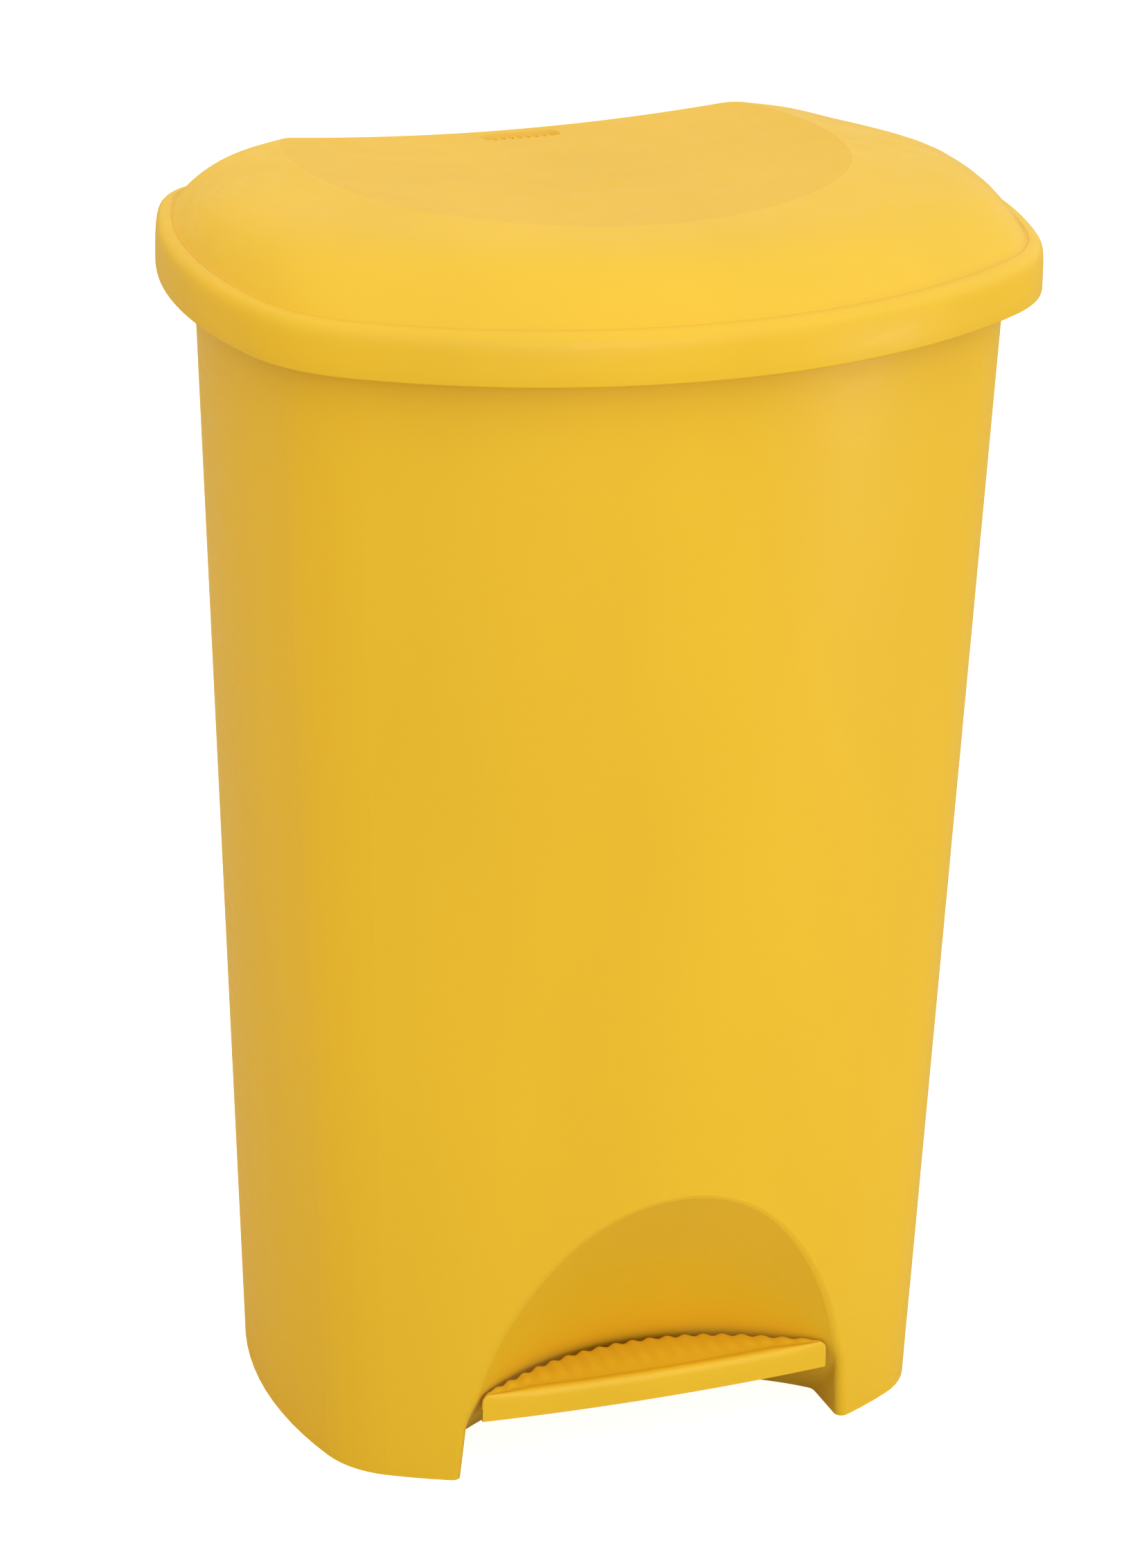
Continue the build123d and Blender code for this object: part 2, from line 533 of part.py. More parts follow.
# ---------------------------------------------------------------- write the pieces
PIECES = {
    "body_shell": body_shell(),
    "foot_recess": foot_recess(),
    "bucket_floor": bucket_floor(),
    "rear_channel": rear_channel(),
    "axle_ribs": axle_ribs(),
    "hinge_lugs": hinge_lugs(),
    "rear_channel_cover": rear_channel_cover(),
    "cover_screws": Compound(children=[screw_y(x, z, BACK_Y + 2.1, 12) for z in COVER_SCREW_LEVELS
                                       for x in (-COVER_SCREW_X, COVER_SCREW_X)]),
    "rod_guide_lower": rod_guide(GUIDE_LEVELS[0]),
    "rod_guide_middle": rod_guide(GUIDE_LEVELS[1]),
    "rod_guide_upper": rod_guide(GUIDE_LEVELS[2]),
    "guide_screws": Compound(children=[screw_y(x, z, GUIDE_BACK, 20) for z in GUIDE_LEVELS
                                       for x in (-GUIDE_SCREW_X, GUIDE_SCREW_X)]),
    "pedal_axle": rod_x(PIVOT_Y, PIVOT_Z, AXLE_R, (-46, 46)),
    "axle_clip_left": axle_clip(-1),
    "axle_clip_right": axle_clip(1),
    "pedal_stop_buffer": rod_z(0, 98, 7.0, (44.5, 52)),
    "hinge_pin_left": hinge_pin(-1),
    "hinge_pin_right": hinge_pin(1),
    "hinge_pin_clips": hinge_pin_clips(),
    "pedal_lever": pedal_lever(),
    "pedal_tread": pedal_tread(),
    "tread_screws": Compound(children=[screw_z(x, -86, 39.5, 5.5) for x in (-45, 45)]),
    "pedal_bush_left": pedal_bush(-1),
    "pedal_bush_right": pedal_bush(1),
    "push_rod": push_rod(),
    "rod_lower_eye": rod_lower_eye(),
    "rod_upper_eye": rod_upper_eye(),
    "lever_link_pin": lever_link_pin(),
    "lid_shell": lid_shell(),
    "lid_hinge_bracket": lid_hinge_bracket(),
    "bracket_screws": Compound(children=[screw_z(x, y, PLATE_Z, 12) for x, y in BRACKET_SCREWS]),
    "lid_buffers": Compound(children=[lid_buffer(x, y) for x, y in BUFFER_PLACES]),
    "lid_link_pin": lid_link_pin(),
}

os.makedirs("parts", exist_ok=True)
for name, piece in PIECES.items():
    export_step(piece, f"parts/{name}.step")
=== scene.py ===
"""Looks of the pedal bin: lid, tread, screws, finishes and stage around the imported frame.

Metres, +Z up, front towards -Y, origin under the middle of the bin.
"""

import math

import bmesh
import bpy
from bpy.props import FloatProperty, FloatVectorProperty, IntProperty, PointerProperty
from mathutils import Matrix, Vector
from mathutils.bvhtree import BVHTree


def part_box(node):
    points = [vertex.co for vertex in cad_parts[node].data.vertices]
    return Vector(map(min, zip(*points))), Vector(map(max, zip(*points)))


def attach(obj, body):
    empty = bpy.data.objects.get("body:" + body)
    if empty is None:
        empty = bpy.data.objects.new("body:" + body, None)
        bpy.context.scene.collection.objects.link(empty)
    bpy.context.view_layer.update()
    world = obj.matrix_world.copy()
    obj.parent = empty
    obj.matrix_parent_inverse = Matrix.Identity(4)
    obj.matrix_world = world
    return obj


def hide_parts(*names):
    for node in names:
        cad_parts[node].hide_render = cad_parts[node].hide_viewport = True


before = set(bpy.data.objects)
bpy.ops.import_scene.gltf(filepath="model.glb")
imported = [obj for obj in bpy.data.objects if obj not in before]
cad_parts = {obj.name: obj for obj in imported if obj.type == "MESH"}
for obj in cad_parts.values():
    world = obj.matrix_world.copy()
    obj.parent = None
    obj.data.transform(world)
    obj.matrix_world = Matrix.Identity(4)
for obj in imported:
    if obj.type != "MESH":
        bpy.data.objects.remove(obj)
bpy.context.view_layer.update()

bl_info = {
    "name": "Pedal bin",
    "version": (1, 0, 0),
    "blender": (4, 5, 0),
    "location": "3D View > Sidebar > Pedal bin",
    "description": "Builds the lid, tread, screws, finishes and stage of a fifty litre pedal bin",
    "category": "Object",
}

MM = 0.001

# D outlines in millimetres: bowed front, bowed sides, straight back, four tangent corners
RIM = dict(front=-157.5, front_r=300.0, half=216.0, side_y=19.8, side_r=292.0,
           back=157.5, corner=85.0, back_corner=50.0)
CREASE = dict(front=-78.2, front_r=145.0, half=138.0, side_y=70.0, side_r=230.0,
              back=147.6, corner=110.0, back_corner=12.0)
ARC_STEPS = (34, 18, 26, 14, 22)         # half front, corner, half side, back corner, half back

# rim of the lid from its lower edge to the foot of the dome: (inset, height)
RIM_PROFILE = ((1.7, 600.0), (0.8, 600.1), (0.2, 600.6), (0.0, 601.6), (0.0, 608.0), (0.1, 614.0),
               (0.3, 617.5), (0.6, 620.0), (1.1, 621.9), (1.9, 623.5), (3.1, 624.8), (4.7, 625.5),
               (6.7, 625.9), (7.6, 626.0), (8.1, 625.75), (8.5, 625.5), (8.9, 625.55), (9.3, 625.9))
INNER_RIM_PROFILE = ((2.0, 600.1), (2.4, 600.6), (2.5, 602.0), (2.5, 611.0), (3.0, 617.5),
                     (4.4, 621.0), (6.2, 622.8), (9.0, 623.3))
DOME_FOOT = 9.5                          # inset of the dome's foot from the rim
DOME_BASE = 626.2
DOME_TOP = 655.25
# fullness of the dome at the front, the sides and the back: (share that is straight, roundness)
DOME_FRONT = (0.15, 3.5)
DOME_SIDE = (0.21, 6.5)
DOME_BACK = (0.35, 3.5)
DOME_SHARES = (0.012, 0.03, 0.055, 0.09, 0.13, 0.18, 0.24, 0.31, 0.39, 0.48, 0.57, 0.66, 0.75,
               0.83, 0.9, 0.95, 0.98, 1.0)
HOLLOW_SHARES = (0.992, 0.978, 0.955, 0.92, 0.87, 0.8, 0.72, 0.63, 0.54, 0.45, 0.36, 0.28, 0.2,
                 0.13, 0.08)
INNER_SHARES = (0.04, 0.1, 0.18, 0.28, 0.4, 0.55, 0.7, 0.85, 1.0)
INNER_HOLLOW_SHARES = (0.97, 0.85, 0.65, 0.4, 0.15, 0.02)
HOLLOW_FALL = 0.0604                     # drop towards the back, per millimetre
HOLLOW_BACK = (148.8, 640.2)             # place and height of the hollow's back end
HOLLOW_RISE = 5.9                        # rise from the middle to HOLLOW_REACH at the side
HOLLOW_REACH = 126.0
FRONT_TO_SIDE = (-120.0, -20.0)          # where the dome's fullness changes
SIDE_TO_BACK = (20.0, 110.0)
HOLLOW_POLE = (1.0, 12.0)
# finger slot: middle, half its front to back size, corner radius, width of its wall, cut pitch
SLOT_Y = 0.133
SLOT_REACH = 0.00725
SLOT_CORNER = 0.006
SLOT_WALL = 0.0015
SLOT_PITCH = 0.00075
SLOT_AROUND = (0.02, 0.03)               # skin round the slot that its cuts may reach
SLOT_FARTHEST = 0.149
SLOT_PAD = (47 * MM, 17 * MM, 4 * MM)
SLOT_PAD_DROP = 2.1 * MM
SLOT_RIB = (2.0 * MM, 8.5 * MM, 1.6 * MM)
SLOT_RIB_SPREAD = 1.7
GRAIN_AND_SHEEN_ABOVE = 632.0                      # only skin higher than this is grained and painted paler as sheen
GRAIN_AND_SHEEN_MARGIN = 0.2
FACES_UP = 0.7                           # least upward share of a top face's normal
GATE_RINGS = ((6.0, 0.0), (4.4, 0.0), (3.6, -0.12), (2.9, -0.42), (2.0, -0.5), (1.0, -0.5))


def clamp(value, low=0.0, high=1.0):
    return max(low, min(high, value))


def ease(value):
    """Smooth step from 0 to 1."""
    value = clamp(value)
    return value * value * (3 - 2 * value)


# ---------------------------------------------------------------- outlines and rings
def inset_plan(plan, inset):
    """The same D outline, moved in by inset all round."""
    return dict(front=plan["front"] + inset, front_r=plan["front_r"] - inset,
                half=plan["half"] - inset, side_y=plan["side_y"], side_r=plan["side_r"] - inset,
                back=plan["back"] - inset, corner=plan["corner"] - inset,
                back_corner=plan["back_corner"] - inset)


def arc_centres(plan):
    """Centres of the front, corner, side and back corner arcs on the right half."""
    front = Vector((0.0, plan["front"] + plan["front_r"]))
    side = Vector((plan["half"] - plan["side_r"], plan["side_y"]))
    reach_a = plan["front_r"] - plan["corner"]
    reach_b = plan["side_r"] - plan["corner"]
    gap = side - front
    along = (reach_a ** 2 - reach_b ** 2 + gap.length ** 2) / (2 * gap.length)
    off = math.sqrt(reach_a ** 2 - along ** 2)
    unit = gap.normalized()
    corner = front + unit * along + Vector((-unit.y, unit.x)) * off
    back_y = plan["back"] - plan["back_corner"]
    reach_c = plan["side_r"] - plan["back_corner"]
    back_x = side.x + math.sqrt(reach_c ** 2 - (back_y - side.y) ** 2)
    return front, corner, side, Vector((back_x, back_y))


def outline(plan):
    """Points round a D outline: a vertex is spun about each arc's centre, then mirrored."""
    front, corner, side, back_corner = arc_centres(plan)
    ends = (front + (corner - front).normalized() * plan["front_r"],
            side + (corner - side).normalized() * plan["side_r"],
            side + (back_corner - side).normalized() * plan["side_r"],
            Vector((back_corner.x, plan["back"])))
    bm = bmesh.new()
    tip = bm.verts.new((0.0, plan["front"], 0.0))
    for centre, end, steps in zip((front, corner, side, back_corner), ends, ARC_STEPS):
        turn = (tip.co.xy - centre).angle(end - centre)
        made = bmesh.ops.spin(bm, geom=[tip], cent=centre.to_3d(), axis=(0, 0, 1), angle=turn,
                              steps=steps, use_merge=False)
        tip = made["geom_last"][0]
    step = Vector((-tip.co.x / ARC_STEPS[4], 0.0, 0.0))
    for _ in range(ARC_STEPS[4]):
        tip = bmesh.ops.extrude_vert_indiv(bm, verts=[tip])["verts"][0]
        bmesh.ops.translate(bm, verts=[tip], vec=step)
    half = [v.co.xy.copy() for v in bm.verts]
    bm.free()
    return half + [Vector((-p.x, p.y)) for p in reversed(half[1:-1])]


def grow(bm, ring):
    """Extrude a closed ring of vertices and return the new ring in the same order."""
    edges = [bm.edges.get((a, b)) for a, b in zip(ring, ring[1:] + ring[:1])]
    made = bmesh.ops.extrude_edge_only(bm, edges=edges)["geom"]
    new = {v for v in made if isinstance(v, bmesh.types.BMVert)}
    return [next(e.other_vert(v) for e in v.link_edges if e.other_vert(v) in new) for v in ring]


def loft(bm, rings):
    """Skin through rings of places in millimetres; returns the first and the last ring."""
    ring = bmesh.ops.create_circle(bm, segments=len(rings[0]), radius=1.0)["verts"]
    first = ring
    for number, places in enumerate(rings):
        if number:
            ring = grow(bm, ring)
        for vert, place in zip(ring, places):
            vert.co = Vector(place) * MM
    return first, ring


def soften(bm, angle=math.radians(32)):
    """Shade smooth, with edges sharper than angle kept crisp."""
    for face in bm.faces:
        face.smooth = True
    for edge in bm.edges:
        edge.smooth = len(edge.link_faces) != 2 or edge.calc_face_angle(0.0) < angle


def piece(name, bm, body, slot, *materials):
    """Object from a bmesh, riding on a body, with its finish."""
    mesh = bpy.data.meshes.new(name)
    bm.to_mesh(mesh)
    bm.free()
    obj = bpy.data.objects.new(name, mesh)
    bpy.context.scene.collection.objects.link(obj)
    for material in materials:
        mesh.materials.append(material)
    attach(obj, body)
    return obj


def dress(material, *nodes):
    """Give CAD nodes a finish."""
    for name in nodes:
        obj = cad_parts[name]
        if not obj.material_slots:
            obj.data.materials.append(material)
        for slot in obj.material_slots:
            slot.material = material


def solids_of(node):
    """Lowest and highest corner of each separate solid in a CAD node."""
    bm = bmesh.new()
    bm.from_mesh(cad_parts[node].data)
    bmesh.ops.remove_doubles(bm, verts=bm.verts, dist=1e-6)
    left, boxes = set(bm.verts), []
    while left:
        edge_of_island = [left.pop()]
        island = list(edge_of_island)
        while edge_of_island:
            vert = edge_of_island.pop()
            for other in (e.other_vert(vert) for e in vert.link_edges):
                if other in left:
                    left.remove(other)
                    edge_of_island.append(other)
                    island.append(other)
        axes = list(zip(*(v.co for v in island)))
        boxes.append((Vector(map(min, axes)), Vector(map(max, axes))))
    bm.free()
    return sorted(boxes, key=lambda box: tuple(round(c, 4) for c in box[0]))


# ---------------------------------------------------------------- finishes
def new_material(name):
    """Material with a principled shader; returns it with its node tree and shader."""
    material = bpy.data.materials.new(name)
    material.use_nodes = True
    tree = material.node_tree
    shader = next(n for n in tree.nodes if n.type == "BSDF_PRINCIPLED")
    return material, tree, shader


def noise(tree, scale, detail=3.0, stretch=(1.0, 1.0, 1.0)):
    """Noise on Object coordinates, scale in waves per metre."""
    coords = tree.nodes.new("ShaderNodeTexCoord")
    mapping = tree.nodes.new("ShaderNodeMapping")
    mapping.inputs["Scale"].default_value = stretch
    texture = tree.nodes.new("ShaderNodeTexNoise")
    texture.inputs["Scale"].default_value = scale
    texture.inputs["Detail"].default_value = detail
    tree.links.new(coords.outputs["Object"], mapping.inputs["Vector"])
    tree.links.new(mapping.outputs["Vector"], texture.inputs["Vector"])
    return texture.outputs["Fac"]


def spread(tree, value, low, high, start=0.3, end=0.7):
    """Map a 0..1 value onto low..high."""
    node = tree.nodes.new("ShaderNodeMapRange")
    node.inputs["From Min"].default_value = start
    node.inputs["From Max"].default_value = end
    node.inputs["To Min"].default_value = low
    node.inputs["To Max"].default_value = high
    tree.links.new(value, node.inputs["Value"])
    return node.outputs["Result"]


def tint(tree, share, dark, light):
    """Colour between dark and light."""
    node = tree.nodes.new("ShaderNodeMix")
    node.data_type = "RGBA"
    node.inputs["A"].default_value = dark
    node.inputs["B"].default_value = light
    tree.links.new(share, node.inputs["Factor"])
    return node.outputs["Result"]


def tint_between(tree, share, socket, colour):
    """Colour between a socket's colour and a plain one."""
    node = tree.nodes.new("ShaderNodeMix")
    node.data_type = "RGBA"
    node.inputs["B"].default_value = colour
    tree.links.new(socket, node.inputs["A"])
    tree.links.new(share, node.inputs["Factor"])
    return node.outputs["Result"]


def bump(tree, shader, layers):
    """Stack bump layers of (height, strength, distance) into the shader's normal."""
    normal = None
    for height, strength, distance in layers:
        node = tree.nodes.new("ShaderNodeBump")
        node.inputs["Strength"].default_value = strength
        node.inputs["Distance"].default_value = distance
        tree.links.new(height, node.inputs["Height"])
        if normal is not None:
            tree.links.new(normal, node.inputs["Normal"])
        normal = node.outputs["Normal"]
    tree.links.new(normal, shader.inputs["Normal"])


def shade(colour, factor):
    """A colour made darker or lighter."""
    return tuple(clamp(c * factor) for c in colour[:3]) + (1.0,)


def moulded_plastic(name, colour, roughness, grain, grain_scale, variation=0.03):
    """Satin moulded polypropylene: flow marks, fine grain and light handling scuffs."""
    material, tree, shader = new_material(name)
    flow = spread(tree, noise(tree, 9.0, 2.0, (1.0, 1.0, 0.35)), 0.0, 1.0)
    base = tint(tree, flow, shade(colour, 1 - variation), shade(colour, 1 + variation))
    tree.links.new(base, shader.inputs["Base Color"])
    scuffs = noise(tree, 60.0, 6.0, (1.0, 1.0, 4.0))
    tree.links.new(spread(tree, scuffs, roughness - 0.05, roughness + 0.05),
                   shader.inputs["Roughness"])
    shader.inputs["Specular IOR Level"].default_value = 0.42
    bump(tree, shader, ((noise(tree, grain_scale, 2.0), grain, 0.0002),
                        (noise(tree, 14.0, 2.0, (1.0, 1.0, 0.5)), 0.05, 0.002)))
    return material


def drawn_steel(name, colour, roughness, stretch):
    """Zinc plated steel with fine drawing lines."""
    material, tree, shader = new_material(name)
    lines = noise(tree, 900.0, 3.0, stretch)
    base = tint(tree, spread(tree, noise(tree, 120.0), 0.0, 1.0), shade(colour, 0.9),
                shade(colour, 1.05))
    tree.links.new(base, shader.inputs["Base Color"])
    shader.inputs["Metallic"].default_value = 1.0
    tree.links.new(spread(tree, lines, roughness - 0.08, roughness + 0.1),
                   shader.inputs["Roughness"])
    bump(tree, shader, ((lines, 0.25, 0.0001),))
    return material


def soft_rubber(name, colour):
    """Dull moulded rubber with dust in its grain."""
    material, tree, shader = new_material(name)
    dust = spread(tree, noise(tree, 260.0, 5.0), 0.0, 1.0, 0.45, 0.8)
    tree.links.new(tint(tree, dust, colour, shade(colour, 2.4)), shader.inputs["Base Color"])
    tree.links.new(spread(tree, dust, 0.62, 0.82, 0.0, 1.0), shader.inputs["Roughness"])
    bump(tree, shader, ((noise(tree, 1400.0), 0.3, 0.0002),))
    return material


FINISHES = {}


def finish(name):
    """The finish of that name, made once from the colours in the panel."""
    if not FINISHES:
        colours = bpy.context.scene.pedal_bin_colours
        FINISHES["satin"] = moulded_plastic(
            # The grained finish: real fine grain in its bump, and a paler, bluer colour that is painted
            # sheen.
            "yellow_satin", colours.yellow, colours.satin_roughness, 0.12, 1500.0)
        FINISHES["grain_and_sheen"] = moulded_plastic(
            "yellow_painted_sheen_and_grain", colours.sheen_painted_yellow, colours.grained_roughness, 0.3, 2200.0)
        FINISHES["inner"] = moulded_plastic(
            "yellow_inner", colours.inner_yellow, colours.satin_roughness + 0.04, 0.16, 1200.0)
        FINISHES["bush"] = moulded_plastic("natural_acetal", colours.bush, 0.38, 0.1, 1800.0)
        FINISHES["rod"] = drawn_steel("drawn_rod_steel", colours.steel, 0.32, (1.0, 1.0, 0.02))
        FINISHES["pin"] = drawn_steel("pin_steel", colours.steel, 0.3, (0.05, 1.0, 1.0))
        FINISHES["screw"] = drawn_steel("screw_steel", colours.steel, 0.36, (1.0, 1.0, 1.0))
        FINISHES["rubber"] = soft_rubber("buffer_rubber", colours.rubber)
    return FINISHES[name]


# ---------------------------------------------------------------- lid
def hollow_height(x, y):
    """Top of the lid inside the crease: hollow from side to side, rising to the front."""
    back_y, back_z = HOLLOW_BACK
    return min(DOME_TOP, back_z + HOLLOW_RISE * (x / HOLLOW_REACH) ** 2 - HOLLOW_FALL * (y - back_y))


def dome_rise(y, t):
    """Share of the dome's height at t, from its foot (0) to the crease (1), beside the place y."""
    side, back = (ease((y - start) / (end - start)) for start, end in (FRONT_TO_SIDE, SIDE_TO_BACK))
    straight, roundness = (f + (s - f) * side + (b - f - (s - f) * side) * back
                           for f, s, b in zip(DOME_FRONT, DOME_SIDE, DOME_BACK))
    return straight * t + (1 - straight) * (1 - (1 - t) ** roundness)


def lid_rings(profile, shares, hollow_shares, wall=0.0):
    """Rings of one skin of the lid, from the lower edge of the rim towards the middle."""
    rings = []
    for inset, height in profile:
        rings.append([(p.x, p.y, height) for p in outline(inset_plan(RIM, inset))])
    foot, crease = outline(inset_plan(RIM, DOME_FOOT + wall)), outline(inset_plan(CREASE, wall))
    base = DOME_BASE - wall
    for share in shares:
        ring = []
        for low, high in zip(foot, crease):
            place = low.lerp(high, share)
            top = hollow_height(high.x, high.y) - wall
            ring.append((place.x, place.y, base + (top - base) * dome_rise(low.y, share)))
        rings.append(ring)
    for share in hollow_shares:
        places = [Vector(HOLLOW_POLE).lerp(p, share) for p in crease]
        rings.append([(p.x, p.y, hollow_height(p.x, p.y) - wall) for p in places])
    return rings


def gate_rings(depth):
    """Rings of the small round mark in the middle of the hollow."""
    pole = Vector(HOLLOW_POLE)
    turns = [(p - pole).normalized() for p in outline(CREASE)]
    return [[(*(pole + turn * radius), hollow_height(*pole) + drop * depth) for turn in turns]
            for radius, drop in GATE_RINGS]


def steps(low, high, pitch=SLOT_PITCH):
    """Evenly spaced places from low to high."""
    count = round((high - low) / pitch)
    return [low + (high - low) * number / count for number in range(count + 1)]


def cut_finger_recess(bm, sizes):
    """Shallow round ended slot near the hollow's back end, sunk into the lid's outer skin."""
    half = sizes.recess_half
    beside, before = SLOT_AROUND
    near = [f for f in bm.faces
            if f.normal.z > FACES_UP and abs(f.calc_center_median().x) < half + beside
            and SLOT_Y - before < f.calc_center_median().y < SLOT_FARTHEST]
    geom = near + list({e for f in near for e in f.edges}) + list({v for f in near for v in f.verts})
    cuts = [((x, 0, 0), (1, 0, 0)) for x in steps(-half, half)]
    cuts += [((0, y, 0), (0, 1, 0)) for y in steps(SLOT_Y - SLOT_REACH, SLOT_Y + SLOT_REACH)]
    for place, normal in cuts:
        geom = bmesh.ops.bisect_plane(bm, geom=geom, dist=1e-6, plane_co=place, plane_no=normal)["geom"]
    for vert in [g for g in geom if isinstance(g, bmesh.types.BMVert)]:
        beyond = Vector((max(abs(vert.co.x) - half + SLOT_CORNER, 0.0),
                         max(abs(vert.co.y - SLOT_Y) - SLOT_REACH + SLOT_CORNER, 0.0)))
        sunk = sizes.recess_depth * ease((SLOT_CORNER - beyond.length) / SLOT_WALL)
        vert.co.z -= sunk


def rounded_block(bm, size, place, radius, segments=3):
    """Block with rounded edges."""
    made = bmesh.ops.create_cube(bm, size=1.0)["verts"]
    bmesh.ops.scale(bm, verts=made, vec=size)
    bmesh.ops.translate(bm, verts=made, vec=place)
    edges = list({e for v in made for e in v.link_edges})
    rest = set(bm.verts) - set(made)
    bmesh.ops.bevel(bm, geom=edges, offset=radius, offset_type="OFFSET", segments=segments,
                    profile=0.5, affect="EDGES", material=-1)
    return [v for v in bm.verts if v not in rest]


def boss(bm, skin, place, radius, low):
    """Upright round boss that ends inside the lid's wall, just above its lower skin."""
    made = bmesh.ops.create_cone(bm, cap_ends=True, segments=28, radius1=radius, radius2=radius,
                                 depth=2 * MM)["verts"]
    bmesh.ops.translate(bm, verts=made, vec=(place.x, place.y, low + MM))
    for vert in made:
        if vert.co.z > low + MM:
            hit = skin.ray_cast(Vector((vert.co.x, vert.co.y, low)), Vector((0, 0, 1)))[0]
            if hit is None:
                raise RuntimeError("a boss stands outside the lid")
            vert.co.z = hit.z + 0.8 * MM


def boss_places():
    """Centre and lower end of each boss: over the bracket's screws and over the buffers."""
    plate_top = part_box("lid_hinge_bracket")[1].z
    for low, high in solids_of("bracket_screws"):
        yield (low + high) / 2, plate_top
    for low, high in solids_of("lid_buffers"):
        yield (low + high) / 2, high.z - 5 * MM


def build_lid():
    sizes = bpy.context.scene.pedal_bin_sizes
    bm = bmesh.new()
    outer = lid_rings(RIM_PROFILE, (0.0,) + DOME_SHARES, HOLLOW_SHARES)
    inner = lid_rings(INNER_RIM_PROFILE, INNER_SHARES, INNER_HOLLOW_SHARES, sizes.wall / MM)
    for pole in loft(bm, inner[::-1] + outer + gate_rings(sizes.gate_depth)):
        centre = sum((v.co for v in pole), Vector()) / len(pole)
        bmesh.ops.pointmerge(bm, verts=pole, merge_co=centre)
    bmesh.ops.recalc_face_normals(bm, faces=bm.faces)
    cut_finger_recess(bm, sizes)
    pole_place = Vector(HOLLOW_POLE)
    crease = [p - pole_place for p in outline(CREASE)]
    for face in bm.faces:
        at = face.calc_center_median() / MM
        flat = at.xy - pole_place
        limit = max(crease, key=lambda p: p.normalized().dot(flat.normalized())).length
        # Upward faces of the top inside the crease get the grained finish: real grain, and a paler
        # colour that is painted sheen.
        face.material_index = int(face.normal.z > 0 and at.z > GRAIN_AND_SHEEN_ABOVE
                                  and flat.length < limit - GRAIN_AND_SHEEN_MARGIN)
    skin = BVHTree.FromBMesh(bm)
    for place, low in boss_places():
        boss(bm, skin, place, sizes.boss_radius, low)
    slot_floor = hollow_height(0.0, SLOT_Y / MM) * MM - sizes.recess_depth
    pad = rounded_block(bm, SLOT_PAD, (0.0, SLOT_Y - MM, slot_floor - SLOT_PAD_DROP), 1.2 * MM)
    bmesh.ops.rotate(bm, verts=pad, cent=(0.0, SLOT_Y - MM, slot_floor),
                     matrix=Matrix.Rotation(-math.atan(HOLLOW_FALL), 3, "X"))
    for number in range(sizes.grip_ribs):
        x = (number - (sizes.grip_ribs - 1) / 2) * SLOT_RIB_SPREAD * sizes.recess_half / sizes.grip_ribs
        rounded_block(bm, SLOT_RIB, (x, SLOT_Y, slot_floor), 0.6 * MM)
    soften(bm)
    lid = piece("lid", bm, "lid", "bin_plastic", finish("satin"), finish("grain_and_sheen"))
    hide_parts("lid_shell")


# ---------------------------------------------------------------- tread
TREAD_FRONT = -101.2
TREAD_END_Y = -97.0
TREAD_BACK = -60.5
TREAD_BACK_RADIUS = 143.0
TREAD_HALF = 95.0
TREAD_LOW = 33.0
TREAD_TOP = 47.5
TREAD_WALL = 3.2
TREAD_COLUMNS = 220
TREAD_END_COLUMNS = (94.35, 94.6, 94.8, 94.93, TREAD_HALF)


def tread_section(x, sizes):
    """Closed (y, z) section of the tread at x: lip, dish, ribs, and the hollow underneath."""
    front = TREAD_FRONT + (TREAD_END_Y - TREAD_FRONT) * (x / TREAD_HALF) ** 2
    back = TREAD_BACK - TREAD_BACK_RADIUS + math.sqrt(TREAD_BACK_RADIUS ** 2 - x * x)
    ridge = 0.5 + 0.5 * math.cos(2 * math.pi * x / (sizes.rib_pitch / MM))
    depth = max(back - front, 1.5)
    depth -= (1 - ridge) * sizes.scallop / MM * clamp((depth - 4) / 10)
    scale = min(1.0, depth / 22.0)
    dish = TREAD_TOP - 1.5 * clamp((depth - 3) / 14)
    top = [(0.0, TREAD_LOW), (0.0, 38.0), (0.0, 43.2), (0.15, 44.6), (0.55, 45.8), (1.2, 46.7),
           (2.1, 47.25), (3.2, TREAD_TOP), (4.4, TREAD_TOP - 0.1)]
    section = [(a * scale, z) for a, z in top]
    section += [(6.2 * scale, (TREAD_TOP + dish) / 2 + 0.2), (8.2 * scale, dish + 0.1)]
    rise = sizes.rib_height / MM
    for row in range(12):
        share = row / 11
        a = 9.6 * scale + (depth - 11.2 * scale) * share
        section.append((a, dish + rise * ridge * ease((share - 0.1) / 0.5) * clamp((depth - 4) / 8)))
    end = section[-1][1]
    section += [(depth - 0.9 * scale, end - 0.25), (depth - 0.3 * scale, end - 0.9),
                (depth, end - 1.9), (depth, 39.0), (depth, TREAD_LOW)]
    wall = min(TREAD_WALL, depth / 2 - 0.3)
    section += [(depth - wall, TREAD_LOW), (depth - wall, 38.0), (depth - wall, 42.6),
                (depth / 2, 42.8), (wall, 42.6), (wall, 38.0), (wall, TREAD_LOW)]
    past = clamp(abs(x) - (TREAD_HALF - 4.0), 0.0, 4.0)
    fall = 4.0 - math.sqrt(16.0 - past * past)
    return [(x, front + a, z - fall * ease((z - 38.0) / 7.0)) for a, z in section]


